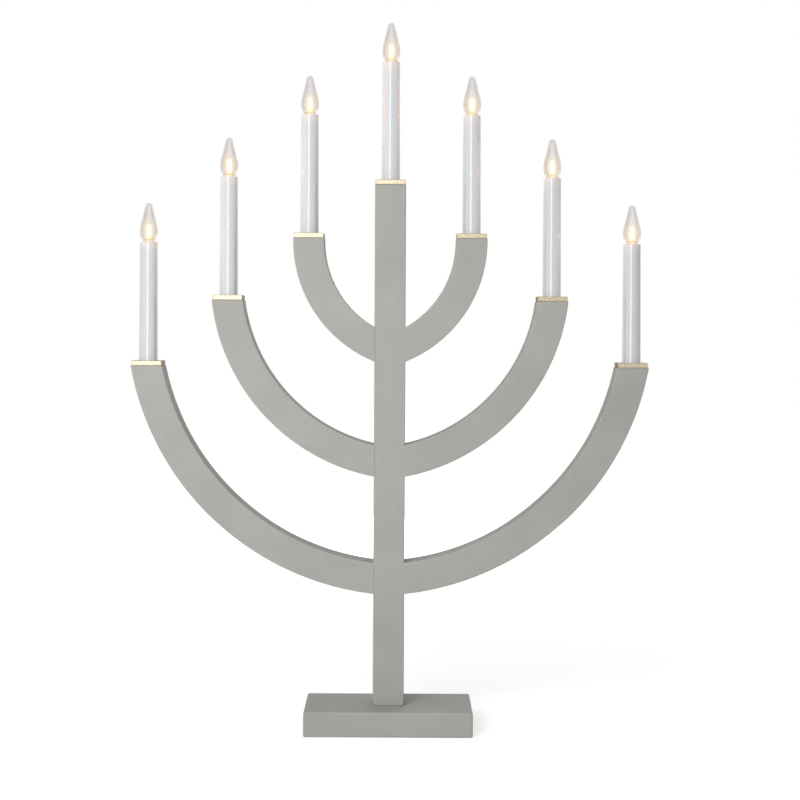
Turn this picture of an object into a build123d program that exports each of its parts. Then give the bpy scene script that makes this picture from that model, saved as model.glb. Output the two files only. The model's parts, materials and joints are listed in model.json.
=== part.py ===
"""Electric candle arch: seven candle lamps on a painted wooden candelabrum.

A stem stands on a block and carries three pairs of curved arms. Each arm, and the stem, ends in a brass
plate with a candle tube on it. A lamp holder sits in the top of each tube, and a flame-shaped bulb screws
into it. Millimetres, +Z up, origin on the floor under the middle of the base, front towards -Y.
"""
import os
from math import acos, atan2, cos, sin, sqrt

from build123d import *

os.makedirs("parts", exist_ok=True)

# Base block
base_width = 167
base_depth = 90
base_height = 25
base_edge_radius = 2

# Stem and arms, all of one square bar
bar_width = 31
bar_depth = 31
bar_edge_radius = 1
bar_end_radius = 0.6
stem_top_height = 546
stem_foot_radius = 3

# Arms: the reach runs from the stem's middle to the candle's middle, heights are above the floor,
# and the radius is that of the arm's middle line
outer_reach = 243
outer_joint_height = 152.5
outer_top_height = 364
outer_radius = 262.5
middle_reach = 162.5
middle_joint_height = 270
middle_top_height = 430
middle_radius = 186
inner_reach = 81.5
inner_joint_height = 386
inner_top_height = 492.5
inner_radius = 115

# Dowels that pin a pair of arms through the stem, towards the front, clear of the wire groove
dowel_diameter = 6
dowel_embedment = 15
dowel_spacing = 12
dowel_lift = 3
dowel_setback = 5
dowel_clearance = 0.1
dowel_end_clearance = 0.5

# Wire channels: a groove in the back of each bar, rebated for a flush cover strip
groove_width = 6
groove_depth = 14.5
rebate_width = 9
cover_thickness = 4
cover_clearance = 0.05
groove_stop = 12
wire_bore_diameter = 7
wire_bore_depth = 30
cross_bore_diameter = 6
base_channel_diameter = 8

# Bush for the mains lead, flush in the back of the base
bush_flange_diameter = 13
bush_flange_thickness = 2
bush_sleeve_diameter = 9.5
bush_sleeve_length = 10
bush_bore_diameter = 6
bush_clearance = 0.1

# Wood screws from under the base into the stem's foot
screw_spacing = 16
screw_setback = 6
screw_length = 52
screw_shank_diameter = 4.5
screw_point_length = 6
screw_head_diameter = 9
screw_head_recess = 0.6
screw_hole_clearance = 0.3
screw_seat_clearance = 0.1
cross_recess_length = 4.6
cross_recess_width = 1
cross_recess_depth = 1.6

# Brass plates
plate_size = 30
plate_thickness = 5
plate_edge_radius = 0.6
plate_recess_depth = 1.5

# Candle tubes: a hollow taper with an inward lip at the top
tube_height = 119
tube_bottom_diameter = 18.9
tube_top_diameter = 17.7
tube_wall = 1.2
tube_lip_thickness = 1.5
tube_rim_radius = 0.6
tube_foot_clearance = 0.1

# Bulb screw cap
cap_diameter = 9.6
cap_wall = 0.5
cap_length = 9
cap_fit_clearance = 0.2
running_clearance = 0.3
lip_hole_clearance = 0.6

# Bulb envelope: a flame outline of two tangent arcs, a straight flank and a round tip
bulb_seat_gap = 0.3
envelope_height = 39
envelope_neck_radius = 6
envelope_belly_radius = 8.9
envelope_belly_height = 10.2
envelope_shoulder_radius = 38
envelope_tip_radius = 3.6
envelope_wall = 1.2
envelope_floor = 2
spigot_length = 4

# Light guide that carries the glow from the foot of the bulb
guide_radius = 2.3
guide_foot = 3
guide_height = 17.5

# Insulated centre contact of the bulb
contact_plug_length = 1.5
contact_cone_height = 2.2
contact_cone_end_radius = 2.4
contact_pip_radius = 1.9
contact_pip_height = 1.2

# Lamp holder in the tube's top
holder_clearance = 0.15
holder_length = 22
holder_floor = 3
holder_step_width = 0.8
holder_skirt_wall = 1.6
shell_wall = 0.5
shell_height = 9.5
shell_inset = 0.4
shell_clearance = 0.15

# Springy centre contact of the holder, a bent strip on the holder's floor
leaf_thickness = 0.4
leaf_width = 2.4
leaf_length = 6.4
leaf_rise = 2.4

# One overrun serves all cuts
overrun = 1

# Heights above a bar's end, where the plate lies
tube_top = plate_thickness + tube_height
neck = tube_top + bulb_seat_gap
lip_underside = tube_top - tube_lip_thickness
cap_bottom = neck - cap_length
contact_tip = cap_bottom - contact_cone_height - contact_pip_height
shell_top = lip_underside - shell_inset
shell_bottom = shell_top - shell_height
leaf_top = contact_tip - running_clearance
holder_floor_top = leaf_top - leaf_rise - leaf_thickness
holder_bottom = lip_underside - holder_length

# Radii that fit inside one another, from the bulb's cap outwards
cap_radius = cap_diameter / 2
cap_bore_radius = cap_radius - cap_wall
shell_bore_radius = cap_radius + running_clearance
shell_radius = shell_bore_radius + shell_wall
lip_hole_radius = cap_radius + lip_hole_clearance
holder_radius = tube_top_diameter / 2 - tube_wall - holder_clearance

# Middle of the wire space, between the groove's floor and the cover strip
wire_setback = bar_depth / 2 - (cover_thickness + groove_depth) / 2
back_of_bar = Plane.XZ.offset(-bar_depth / 2)
back_of_base = Plane.XZ.offset(-base_depth / 2)
side_of_stem = Plane.YZ.offset(-bar_width / 2)


class Tier:
    """One pair of arms, given by the left arm's middle line in the XZ plane."""

    def __init__(self, name, reach, joint_height, top_height, radius):
        self.name = name
        self.reach = reach
        self.joint_height = joint_height
        self.top_height = top_height
        self.radius = radius
        joint = Vector(-bar_width / 2, joint_height)
        top = Vector(-reach, top_height)
        chord = top - joint
        towards_stem = Vector(chord.Y, -chord.X).normalized()
        self.centre = (joint + top) / 2 + towards_stem * sqrt(radius**2 - (chord.length / 2) ** 2)

    def dowel_heights(self):
        middle = self.joint_height + dowel_lift
        return [middle - dowel_spacing / 2, middle + dowel_spacing / 2]


tiers = [
    Tier("outer", outer_reach, outer_joint_height, outer_top_height, outer_radius),
    Tier("middle", middle_reach, middle_joint_height, middle_top_height, middle_radius),
    Tier("inner", inner_reach, inner_joint_height, inner_top_height, inner_radius),
]

# Each candle's name and the middle of the bar's end that it stands on
candles = {"centre": (0, 0, stem_top_height)}
for tier in tiers:
    candles[f"left_{tier.name}"] = (-tier.reach, 0, tier.top_height)
    candles[f"right_{tier.name}"] = (tier.reach, 0, tier.top_height)


def save(builder, name):
    """Labels a finished piece and writes it under its name."""
    builder.part.label = name
    export_step(builder.part, f"parts/{name}.step")


def arc_band(plane, tier, width, top):
    """Sketches a band along the left arm's middle line, from the stem's side up to a height."""
    with BuildSketch(plane) as band:
        with Locations(tier.centre):
            Circle(tier.radius + width / 2)
            Circle(tier.radius - width / 2, mode=Mode.SUBTRACT)
        with Locations((-bar_width / 2, top)):
            Rectangle(
                2 * tier.radius + width,
                2 * tier.radius + width,
                align=(Align.MAX, Align.MAX),
                mode=Mode.INTERSECT,
            )
    return band.sketch


# Base block with its screw holes, the bent wire channel and the bush's seat
screw_places = [
    Location((-screw_spacing / 2, -screw_setback, 0), (180, 0, 0)),
    Location((screw_spacing / 2, -screw_setback, 0), (180, 0, 0)),
]
with BuildPart() as base_block:
    with BuildSketch():
        Rectangle(base_width, base_depth)
    extrude(amount=base_height)
    fillet(base_block.edges(), base_edge_radius)
    with Locations(*screw_places):
        CounterSinkHole(
            radius=screw_shank_diameter / 2 + screw_hole_clearance,
            counter_sink_radius=screw_head_diameter / 2 + screw_head_recess,
            depth=base_height + overrun,
            counter_sink_angle=90,
        )
    with BuildSketch(Plane.XY.offset(base_height)):
        with Locations((0, wire_setback)):
            Circle(base_channel_diameter / 2)
    extrude(amount=-(base_height + base_channel_diameter) / 2, mode=Mode.SUBTRACT)
    with BuildSketch(back_of_base):
        with Locations((0, base_height / 2)):
            Circle(base_channel_diameter / 2)
    extrude(amount=base_depth / 2 - wire_setback, mode=Mode.SUBTRACT)
    with BuildSketch(back_of_base):
        with Locations((0, base_height / 2)):
            Circle(bush_sleeve_diameter / 2 + bush_clearance)
    extrude(amount=bush_sleeve_length + bush_clearance, mode=Mode.SUBTRACT)
    with BuildSketch(back_of_base):
        with Locations((0, base_height / 2)):
            Circle(bush_flange_diameter / 2 + bush_clearance)
    extrude(amount=bush_flange_thickness, mode=Mode.SUBTRACT)
save(base_block, "base_block")

# Bush for the mains lead: a flange, a sleeve and the bore for the lead
with BuildPart() as cord_inlet_bush:
    with BuildSketch(back_of_base):
        with Locations((0, base_height / 2)):
            Circle(bush_flange_diameter / 2)
    extrude(amount=bush_flange_thickness)
    with BuildSketch(back_of_base):
        with Locations((0, base_height / 2)):
            Circle(bush_sleeve_diameter / 2)
    extrude(amount=bush_sleeve_length)
    with BuildSketch(back_of_base):
        with Locations((0, base_height / 2)):
            Circle(bush_bore_diameter / 2)
    extrude(amount=bush_sleeve_length, mode=Mode.SUBTRACT)
save(cord_inlet_bush, "cord_inlet_bush")

# Countersunk wood screw with a cross recess, its head down and its point up
screw_shank_radius = screw_shank_diameter / 2
screw_head_radius = screw_head_diameter / 2
screw_head_height = screw_head_recess - screw_seat_clearance
with BuildPart() as screw:
    with BuildSketch(Plane.XZ):
        with BuildLine():
            Polyline(
                (0, screw_head_height),
                (screw_head_radius, screw_head_height),
                (screw_shank_radius, screw_head_height + screw_head_radius - screw_shank_radius),
                (screw_shank_radius, screw_head_height + screw_length - screw_point_length),
                (0, screw_head_height + screw_length),
                close=True,
            )
        make_face()
    revolve(axis=Axis.Z)
    with BuildSketch(Plane.XY.offset(screw_head_height)):
        Rectangle(cross_recess_length, cross_recess_width)
        Rectangle(cross_recess_width, cross_recess_length)
    extrude(amount=cross_recess_depth, mode=Mode.SUBTRACT)
with BuildPart() as base_screws:
    with Locations(*[place.position for place in screw_places]):
        add(screw.part)
save(base_screws, "base_screws")

# Stem: a square bar with the wire groove in its back, and the dowels and cross bores through its sides
with BuildPart() as stem:
    with BuildSketch(Plane.XY.offset(base_height)):
        Rectangle(bar_width, bar_depth)
    extrude(amount=stem_top_height - base_height)
    fillet(stem.faces().sort_by(Axis.Z)[0].edges().filter_by(Axis.Y), stem_foot_radius)
    fillet(stem.edges().filter_by(Axis.Z) + stem.edges().filter_by(GeomType.CIRCLE), bar_edge_radius)
    fillet(stem.faces().sort_by(Axis.Z)[-1].edges(), bar_end_radius)
    for width, depth in ((rebate_width, cover_thickness), (groove_width, groove_depth)):
        with BuildSketch(back_of_bar):
            with Locations((0, base_height)):
                Rectangle(width, stem_top_height - groove_stop - base_height, align=(Align.CENTER, Align.MIN))
        extrude(amount=depth, mode=Mode.SUBTRACT)
    with BuildSketch(Plane.XY.offset(stem_top_height)):
        Circle(wire_bore_diameter / 2)
    extrude(amount=-wire_bore_depth, mode=Mode.SUBTRACT)
    for tier in tiers:
        with BuildSketch(side_of_stem):
            with Locations((wire_setback, tier.joint_height)):
                Circle(cross_bore_diameter / 2)
            with Locations(*[(-dowel_setback, height) for height in tier.dowel_heights()]):
                Circle(dowel_diameter / 2 + dowel_clearance)
        extrude(amount=bar_width, mode=Mode.SUBTRACT)
    with BuildSketch(Plane.XY.offset(base_height)):
        with Locations(*[(place.position.X, place.position.Y) for place in screw_places]):
            Circle(screw_shank_radius + screw_seat_clearance)
    extrude(amount=screw_length - base_height + overrun, mode=Mode.SUBTRACT)
save(stem, "stem")


def make_left_arm(tier):
    """A curved bar with the wire groove in its back, its end level under the plate."""
    with BuildPart() as arm:
        extrude(arc_band(Plane.XZ, tier, bar_width, tier.top_height), amount=bar_depth / 2, both=True)
        fillet(arm.edges().filter_by(GeomType.CIRCLE), bar_edge_radius)
        fillet(arm.faces().sort_by(Axis.Z)[-1].edges(), bar_end_radius)
        for width, depth in ((rebate_width, cover_thickness), (groove_width, groove_depth)):
            channel = arc_band(back_of_bar, tier, width, tier.top_height - groove_stop)
            extrude(channel, amount=depth, mode=Mode.SUBTRACT)
        with BuildSketch(Plane.XY.offset(tier.top_height)):
            with Locations((-tier.reach, 0)):
                Circle(wire_bore_diameter / 2)
        extrude(amount=-wire_bore_depth, mode=Mode.SUBTRACT)
        with BuildSketch(side_of_stem):
            with Locations(*[(-dowel_setback, height) for height in tier.dowel_heights()]):
                Circle(dowel_diameter / 2 + dowel_clearance)
        extrude(amount=-(dowel_embedment + dowel_end_clearance), mode=Mode.SUBTRACT)
    return arm


for tier in tiers:
    left_arm = make_left_arm(tier)
    save(left_arm, f"left_{tier.name}_arm")
    with BuildPart() as right_arm:
        mirror(left_arm.part, about=Plane.YZ)
    save(right_arm, f"right_{tier.name}_arm")

# Dowels: two through the stem at each pair of arms
with BuildPart() as arm_dowels:
    for tier in tiers:
        with BuildSketch(Plane.YZ):
            with Locations(*[(-dowel_setback, height) for height in tier.dowel_heights()]):
                Circle(dowel_diameter / 2)
        extrude(amount=bar_width / 2 + dowel_embedment, both=True)
save(arm_dowels, "arm_dowels")

# Cover strips that close the wire grooves, flush with the backs of the bars
cover_width = rebate_width - 2 * cover_clearance
with BuildPart() as wire_covers:
    with BuildSketch(back_of_bar):
        with Locations((0, base_height)):
            Rectangle(
                cover_width,
                stem_top_height - groove_stop - cover_clearance - base_height,
                align=(Align.CENTER, Align.MIN),
            )
    extrude(amount=cover_thickness)
    for tier in tiers:
        strip = arc_band(back_of_bar, tier, cover_width, tier.top_height - groove_stop - cover_clearance)
        extrude(strip, amount=cover_thickness)
    mirror(about=Plane.YZ)
save(wire_covers, "wire_covers")

# Plate: a square with rounded edges, a wire hole and a round recess for the tube's foot
tube_bottom_radius = tube_bottom_diameter / 2
with BuildPart() as plate:
    with BuildSketch():
        Rectangle(plate_size, plate_size)
    extrude(amount=plate_thickness)
    fillet(plate.edges(), plate_edge_radius)
    with BuildSketch(Plane.XY.offset(plate_thickness)):
        Circle(tube_bottom_radius + tube_foot_clearance)
    extrude(amount=-plate_recess_depth, mode=Mode.SUBTRACT)
    Hole(wire_bore_diameter / 2)

# Candle tube: a hollow taper whose inward lip carries the lamp holder's top
tube_foot = plate_thickness - plate_recess_depth
tube_top_radius = tube_top_diameter / 2
with BuildPart() as candle_tube:
    with BuildSketch(Plane.XZ):
        with BuildLine():
            Polyline(
                (tube_bottom_radius - tube_wall, tube_foot),
                (tube_bottom_radius, tube_foot),
                (tube_top_radius, tube_top),
                (lip_hole_radius, tube_top),
                (lip_hole_radius, lip_underside),
                (tube_top_radius - tube_wall, lip_underside),
                close=True,
            )
        make_face()
    revolve(axis=Axis.Z)
    fillet(candle_tube.edges().group_by(Axis.Z)[-1], tube_rim_radius)

# Lamp holder body: a cup with a step for the screw shell, a floor, and a skirt round the wires
holder_step_radius = shell_radius - holder_step_width
with BuildPart() as lamp_holder_body:
    with BuildSketch(Plane.XZ):
        with BuildLine():
            Polyline(
                (holder_radius, lip_underside),
                (shell_radius + shell_clearance, lip_underside),
                (shell_radius + shell_clearance, shell_bottom),
                (holder_step_radius, shell_bottom),
                (holder_step_radius, holder_floor_top),
                (0, holder_floor_top),
                (0, holder_floor_top - holder_floor),
                (holder_radius - holder_skirt_wall, holder_floor_top - holder_floor),
                (holder_radius - holder_skirt_wall, holder_bottom),
                (holder_radius, holder_bottom),
                close=True,
            )
        make_face()
    revolve(axis=Axis.Z)

# Screw shell of the holder, a brass ring on the step
with BuildPart() as holder_screw_shell:
    with BuildSketch(Plane.XY.offset(shell_bottom)):
        Circle(shell_radius)
        Circle(shell_bore_radius, mode=Mode.SUBTRACT)
    extrude(amount=shell_height)

# Centre contact of the holder: a strip that lies on the floor and springs up under the bulb's contact
leaf_shares = [(-1 / 2, 0), (-1 / 4, 0), (0, 1), (1 / 4, 1)]
with BuildPart() as holder_contact:
    with BuildLine(Plane.XZ.offset(-leaf_width / 2)) as leaf:
        Polyline(*[(x * leaf_length, leaf_top - (1 - z) * leaf_rise) for x, z in leaf_shares])
    make_brake_formed(leaf_thickness, leaf_width, line=leaf.line)


def flame_outline(neck_radius, belly_radius, shoulder_radius, tip_radius, foot, top):
    """Sketches the flame's right half: neck, belly, straight flank and round tip, back down the axis.

    The flank is the common tangent of the shoulder arc and the tip arc: its normal makes an angle with the
    line between their centres whose cosine is the difference of the radii over the distance.
    """
    belly_height = neck + envelope_belly_height
    belly = Vector(belly_radius, belly_height)
    shoulder_centre = Vector(belly_radius - shoulder_radius, belly_height)
    tip_centre = Vector(0, top - tip_radius)
    between = tip_centre - shoulder_centre
    angle = atan2(between.Y, between.X) - acos((shoulder_radius - tip_radius) / between.length)
    normal = Vector(cos(angle), sin(angle))
    flank_start = shoulder_centre + normal * shoulder_radius
    flank_end = tip_centre + normal * tip_radius
    with BuildSketch(Plane.XZ) as outline:
        with BuildLine():
            Line((0, foot), (neck_radius, foot))
            TangentArc(belly, (neck_radius, foot), tangent=(0, -1))
            TangentArc(belly, flank_start, tangent=(0, 1))
            Line(flank_start, flank_end)
            TangentArc((0, top), flank_end, tangent=(1, 0))
            Line((0, top), (0, foot))
        make_face()
    return outline.sketch


# Bulb envelope: a hollow flame with a floor, and a spigot that the screw cap fits round
spigot_radius = cap_bore_radius - cap_fit_clearance
envelope_outside = flame_outline(
    envelope_neck_radius,
    envelope_belly_radius,
    envelope_shoulder_radius,
    envelope_tip_radius,
    neck,
    neck + envelope_height,
)
envelope_inside = flame_outline(
    envelope_neck_radius - envelope_wall,
    envelope_belly_radius - envelope_wall,
    envelope_shoulder_radius - envelope_wall,
    envelope_tip_radius - envelope_wall,
    neck + envelope_floor,
    neck + envelope_height - envelope_wall,
)
with BuildPart() as bulb_envelope:
    revolve(envelope_outside, axis=Axis.Z)
    revolve(envelope_inside, axis=Axis.Z, mode=Mode.SUBTRACT)
    with BuildSketch(Plane.XY.offset(neck)):
        Circle(spigot_radius)
    extrude(amount=-spigot_length)
    with BuildSketch(Plane.XY.offset(neck - spigot_length)):
        Circle(guide_radius + cap_fit_clearance)
    extrude(amount=spigot_length + envelope_floor, mode=Mode.SUBTRACT)

# Bulb screw cap, a thin brass sleeve under the neck
with BuildPart() as bulb_cap:
    with BuildSketch(Plane.XY.offset(cap_bottom)):
        Circle(cap_radius)
        Circle(cap_bore_radius, mode=Mode.SUBTRACT)
    extrude(amount=cap_length)

# Light guide, a rod with a round top that stands in the envelope's floor
with BuildPart() as bulb_light_guide:
    with BuildSketch(Plane.XY.offset(neck - guide_foot)):
        Circle(guide_radius)
    extrude(amount=guide_foot + guide_height - guide_radius)
    with BuildSketch(Plane.XZ):
        with BuildLine():
            Line((0, neck + guide_height - guide_radius), (guide_radius, neck + guide_height - guide_radius))
            TangentArc(
                (guide_radius, neck + guide_height - guide_radius), (0, neck + guide_height), tangent=(0, 1)
            )
            Line((0, neck + guide_height), (0, neck + guide_height - guide_radius))
        make_face()
    revolve(axis=Axis.Z)

# Insulated centre contact: a plug in the cap's end, a cone and a pip
contact_plug_radius = cap_bore_radius - running_clearance
with BuildPart() as bulb_contact:
    with BuildSketch(Plane.XZ):
        with BuildLine():
            Polyline(
                (0, cap_bottom + contact_plug_length),
                (contact_plug_radius, cap_bottom + contact_plug_length),
                (contact_plug_radius, cap_bottom),
                (contact_cone_end_radius, cap_bottom - contact_cone_height),
                (contact_pip_radius, cap_bottom - contact_cone_height),
                (contact_pip_radius, contact_tip),
                (0, contact_tip),
                close=True,
            )
        make_face()
    revolve(axis=Axis.Z)

# The pieces of each candle, placed on their bars' ends
candle_pieces = {
    "plate": plate,
    "candle_tube": candle_tube,
    "bulb_envelope": bulb_envelope,
    "bulb_cap": bulb_cap,
    "bulb_light_guide": bulb_light_guide,
    "bulb_contact": bulb_contact,
}
for candle, place in candles.items():
    for piece_name, piece in candle_pieces.items():
        with BuildPart() as placed:
            with Locations(place):
                add(piece.part)
        save(placed, f"{candle}_{piece_name}")

# The holders' pieces, one group of seven for each kind
holder_pieces = {
    "lamp_holder_bodies": lamp_holder_body,
    "holder_screw_shells": holder_screw_shell,
    "holder_contacts": holder_contact,
}
for group_name, piece in holder_pieces.items():
    with BuildPart() as group:
        with Locations(*candles.values()):
            add(piece.part)
    save(group, group_name)
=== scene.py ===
# %% [markdown]
# # Electric candle arch
# A painted wooden candelabrum with seven electric candles. The solids of the object come in first and stay
# where they are. The finer surfaces made here use the same sizes, and they print how far their boxes lie from
# the boxes of the solids that they stand for.

# %% Load the solids
import json
import math

import bpy
import numpy as np
from mathutils import Matrix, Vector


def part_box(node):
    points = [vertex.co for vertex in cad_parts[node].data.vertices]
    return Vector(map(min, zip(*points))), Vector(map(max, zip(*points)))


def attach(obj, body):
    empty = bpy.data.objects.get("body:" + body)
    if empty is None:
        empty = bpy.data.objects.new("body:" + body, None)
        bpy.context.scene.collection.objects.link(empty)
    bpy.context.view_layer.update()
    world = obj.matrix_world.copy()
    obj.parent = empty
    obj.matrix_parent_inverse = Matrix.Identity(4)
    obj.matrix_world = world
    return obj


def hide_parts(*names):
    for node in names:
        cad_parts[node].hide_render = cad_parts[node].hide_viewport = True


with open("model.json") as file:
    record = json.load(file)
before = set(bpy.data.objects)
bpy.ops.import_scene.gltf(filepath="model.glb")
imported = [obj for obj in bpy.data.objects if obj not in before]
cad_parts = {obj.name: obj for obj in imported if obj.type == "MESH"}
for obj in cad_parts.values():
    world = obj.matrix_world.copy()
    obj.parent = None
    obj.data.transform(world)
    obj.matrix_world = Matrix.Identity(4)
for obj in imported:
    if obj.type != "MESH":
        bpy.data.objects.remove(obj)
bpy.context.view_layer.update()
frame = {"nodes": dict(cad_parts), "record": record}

# %% [markdown]
# ## Camera
# The picture was taken from the front with a long lens, a little above the middle of the object, so that only
# a sliver of the base's top shows. The stem is as wide at its foot as at its top, so the camera was held
# level, and a small shift of the lens brings the whole height into the frame. The distance was found from how
# much narrower the back of the base looks than its front.

# %% Camera
image_width = 800
focal_pixels = 1751.0
lens_shift = -0.08
camera_place = (0.0075, -1.7623, 0.4096)
turn, tilt, roll = math.radians(-0.084), math.radians(90 - 0.485), math.radians(0.280)

camera_data = bpy.data.cameras.new("front_camera")
camera_data.lens = camera_data.sensor_width * focal_pixels / image_width
camera_data.shift_y = lens_shift
camera = bpy.data.objects.new("front_camera", camera_data)
camera.matrix_world = (
    Matrix.Translation(camera_place)
    @ Matrix.Rotation(turn, 4, "Z")
    @ Matrix.Rotation(tilt, 4, "X")
    @ Matrix.Rotation(roll, 4, "Z")
)
bpy.context.scene.collection.objects.link(camera)
bpy.context.scene.camera = camera
bpy.context.scene.view_settings.view_transform = "Standard"
print("lens: %.1f mm" % camera_data.lens)

# %% [markdown]
# ## Values and nodes
# A finish is a small calculation: noise here, a mask there, mixed into a colour and a roughness. Node graphs
# hide such sums, so one small class wraps a node's output, and Python's own operators add the Math nodes.
# Every other node comes from one method, which sets the node's settings first and then its sockets.


# %% Shader values
class Shade:
    """One output of a node tree. Sums, products and the like of shades add Math nodes."""

    def __init__(self, tree, socket=None):
        self.tree = tree
        self.socket = socket

    def node(self, kind, settings=None, inputs=None, output=0):
        """Adds a node of a kind, with its settings first, then a value or a link for each named input."""
        made = self.tree.nodes.new("ShaderNode" + kind)
        for name, value in (settings or {}).items():
            setattr(made, name, value)
        for name, value in (inputs or {}).items():
            if isinstance(value, Shade):
                self.tree.links.new(value.socket, made.inputs[name])
            else:
                made.inputs[name].default_value = value
        return Shade(self.tree, made.outputs[output] if made.outputs else None)

    def maths(self, operation, *values):
        return self.node("Math", {"operation": operation}, dict(enumerate(values)))

    def __add__(self, other):
        return self.maths("ADD", self, other)

    __radd__ = __add__

    def __sub__(self, other):
        return self.maths("SUBTRACT", self, other)

    def __rsub__(self, other):
        return self.maths("SUBTRACT", other, self)

    def __mul__(self, other):
        return self.maths("MULTIPLY", self, other)

    __rmul__ = __mul__

    def __abs__(self):
        return self.maths("ABSOLUTE", self)


def between(value, low, high):
    """A mask that goes smoothly from 0 at low to 1 at high."""
    settings = {"interpolation_type": "SMOOTHSTEP"}
    return value.node("MapRange", settings, {"Value": value, "From Min": low, "From Max": high})


def tint(mask, first, second):
    """The first colour where the mask is 0, the second where it is 1.

    The Mix node keeps its two colours on inputs 6 and 7, and their mix on output 2.
    """
    return mask.node("Mix", {"data_type": "RGBA"}, {0: mask, 6: first, 7: second}, 2)


def coordinate(vector, axis):
    """One coordinate of a vector."""
    return vector.node("SeparateXYZ", None, {0: vector}, axis)


def noise(at, scale, detail=2.0, rough=0.5, stretch=(1, 1, 1)):
    """Cloudy noise from 0 to 1 whose lumps are about one metre over scale and stretch along each axis."""
    place = at.node("Mapping", None, {"Vector": at, "Scale": stretch})
    return at.node("TexNoise", None, {"Vector": place, "Scale": scale, "Detail": detail, "Roughness": rough})


def bump(height, strength, depth):
    """A normal for a surface that rises by up to depth, in metres, where the height is 1."""
    return height.node("Bump", None, {"Strength": strength, "Distance": depth, "Height": height})


print("shades can be added, multiplied and mixed")


# %% Colours and finishes
def rgb(red, green, blue):
    return (red, green, blue, 1.0)


def grey(level):
    return rgb(level, level, level)


def start_finish(name):
    """A new empty material, and a shade of Object coordinates to start from."""
    material = bpy.data.materials.new(name)
    material.use_nodes = True
    material.node_tree.nodes.clear()
    at = Shade(material.node_tree).node("TexCoord", None, None, "Object")
    return material, at


def close_finish(material, at, inputs):
    """Puts the inputs on a Principled shader and leads it to the output."""
    surface = at.node("BsdfPrincipled", None, inputs)
    at.node("OutputMaterial", None, {"Surface": surface})
    print("finish:", material.name, len(material.node_tree.nodes), "nodes")
    return material


print("finishes start from Object coordinates and end in a Principled shader")

# %% [markdown]
# ## Floor, surroundings and light
# The object stands on a white sweep. Rays from the camera, and those that shine or pass through, see a plain
# white surround of strength 1, and a floor that is lifted to white: by half near the object, where the lamps
# give the other half and the shadow can show, and by more far away, where little of their light comes.
# Diffuse light gets a weaker fill and a plain floor, so the lift adds nothing to it. A soft box stands just
# left of the camera: it shines in the left plates and draws the thin bright line down each candle. A lamp
# nearer on the left makes the left arms brighter than the right ones, and one at the back keeps that side
# from going dark. These two only light the surfaces: they show neither in reflections nor through the bulbs.


# %% White surround
def sees_white(shade):
    """1 for rays from the camera and for shining and passing rays, 0 for diffuse ones."""
    rays = ["Is Camera Ray", "Is Glossy Ray", "Is Transmission Ray"]
    camera_ray, glossy_ray, passing_ray = [shade.node("LightPath", None, None, ray) for ray in rays]
    return shade.maths("MAXIMUM", camera_ray, shade.maths("MAXIMUM", glossy_ray, passing_ray))


fill_strength = 0.28
world = bpy.data.worlds.new("white_surround")
world.use_nodes = True
world.node_tree.nodes.clear()
sky = Shade(world.node_tree)
fill = sky.node("Background", None, {"Color": grey(1.0), "Strength": fill_strength})
surround = sky.node("Background", None, {"Color": grey(1.0), "Strength": 1.0})
both = sky.node("MixShader", None, {0: sees_white(sky), 1: fill, 2: surround})
sky.node("OutputWorld", None, {"Surface": both})
bpy.context.scene.world = world
print("fill:", fill_strength)

# %% Floor
floor_half = 6.0
floor_roughness = 0.9
near_distance, far_distance = 0.5, 2.0
near_lift, far_lift = grey(0.51), grey(0.74)

floor_mesh = bpy.data.meshes.new("floor")
floor_corners = np.array([(-1, -1, 0), (1, -1, 0), (1, 1, 0), (-1, 1, 0)]) * floor_half
floor_mesh.from_pydata(floor_corners.tolist(), [], [(0, 1, 2, 3)])
floor = bpy.data.objects.new("floor", floor_mesh)
bpy.context.scene.collection.objects.link(floor)

floor_white, at = start_finish("floor_white")
plain = at.node("BsdfPrincipled", None, {"Base Color": grey(0.82), "Roughness": floor_roughness})
distance = at.node("VectorMath", {"operation": "LENGTH"}, {0: at}, "Value")
lifted_inputs = {
    "Base Color": grey(0.90),
    "Roughness": floor_roughness,
    "Emission Color": tint(between(distance, near_distance, far_distance), near_lift, far_lift),
    "Emission Strength": 1.0,
}
lifted = at.node("BsdfPrincipled", None, lifted_inputs)
seen = at.node("MixShader", None, {0: sees_white(at), 1: plain, 2: lifted})
at.node("OutputMaterial", None, {"Surface": seen})
floor_mesh.materials.append(floor_white)
print("floor: %.0f m square" % (2 * floor_half))


# %% Lamps
def soft_lamp(name, place, aim, size, radiance, in_reflections):
    """A rectangle of even light. Its power is radiance times pi times its area."""
    data = bpy.data.lights.new(name, "AREA")
    data.shape = "RECTANGLE"
    data.size, data.size_y = size
    data.energy = radiance * math.pi * size[0] * size[1]
    lamp = bpy.data.objects.new(name, data)
    ahead = np.subtract(aim, place)
    yaw = math.atan2(ahead[0], ahead[1])
    pitch = math.atan2(ahead[2], math.hypot(ahead[0], ahead[1]))
    towards = Matrix.Rotation(-yaw, 4, "Z") @ Matrix.Rotation(math.pi / 2 + pitch, 4, "X")
    lamp.matrix_world = Matrix.Translation(place) @ towards
    lamp.visible_camera = False
    lamp.visible_glossy = in_reflections
    lamp.visible_transmission = in_reflections
    bpy.context.scene.collection.objects.link(lamp)
    print("lamp: %s %.1f W" % (name, data.energy))


soft_lamp(
    "soft_box",
    place=(-0.46, -2.30, 0.675),
    aim=(-0.10, 0, 0.45),
    size=(0.95, 0.95),
    radiance=2.2,
    in_reflections=True,
)
soft_lamp(
    "wide_lamp",
    place=(-0.55, -1.20, 0.80),
    aim=(-0.05, 0, 0.42),
    size=(0.7, 0.7),
    radiance=7.1,
    in_reflections=False,
)
soft_lamp(
    "back_lamp",
    place=(0.55, 1.70, 0.55),
    aim=(0, 0, 0.35),
    size=(1.2, 0.9),
    radiance=3.2,
    in_reflections=False,
)

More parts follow.
